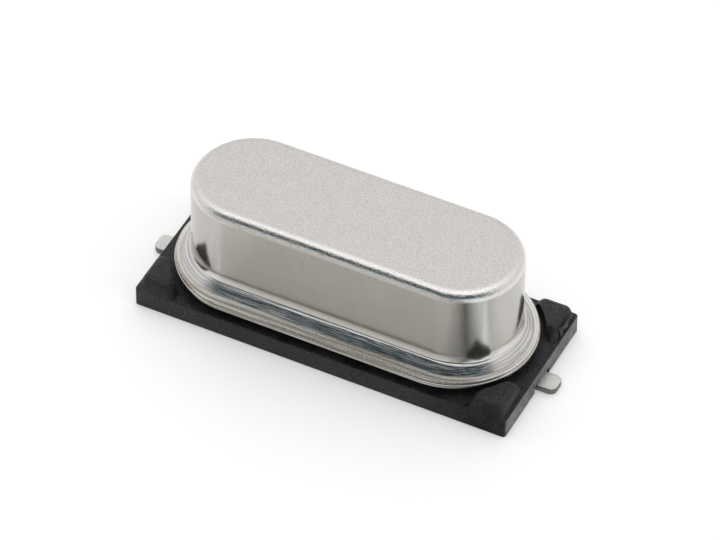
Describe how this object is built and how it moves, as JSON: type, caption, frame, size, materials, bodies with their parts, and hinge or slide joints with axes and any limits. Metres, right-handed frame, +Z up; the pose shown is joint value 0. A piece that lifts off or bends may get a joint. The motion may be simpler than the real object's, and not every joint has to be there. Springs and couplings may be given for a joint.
{
  "type": "quartz crystal",
  "caption": "Surface-mount quartz crystal that sets a clock frequency: oblong drawn metal can welded to a header, on a black moulded base with corner posts and flat solder tabs at its ends.",
  "frame": {"origin": "centre of the base underside, on the plane of the circuit board", "axes": "+X along the length towards the right lead tab, +Y across the width, +Z up from the board"},
  "size_m": [0.0124, 0.0046, 0.004],
  "materials": {
    "can_metal": "satin nickel",
    "header_metal": "satin nickel",
    "lead_metal": "matt tin",
    "base_plastic": "fine moulded grain",
    "seal_glass": "fused",
    "clip_metal": "bright sheet",
    "quartz": "lapped",
    "electrode_metal": "vapour-deposited silver",
    "adhesive": "silver-filled resin"
  },
  "bodies": {
    "root": {"can_cover": "can_metal", "header_plate": "header_metal", "glass_seal_left": "seal_glass", "glass_seal_right": "seal_glass", "lead_left": "lead_metal", "lead_right": "lead_metal", "insulator_base": "base_plastic", "support_clip_left": "clip_metal", "support_clip_right": "clip_metal", "quartz_blank": "quartz", "electrode_front": "electrode_metal", "electrode_rear": "electrode_metal", "adhesive_left": "adhesive", "adhesive_right": "adhesive"}
  },
  "joints": []
}
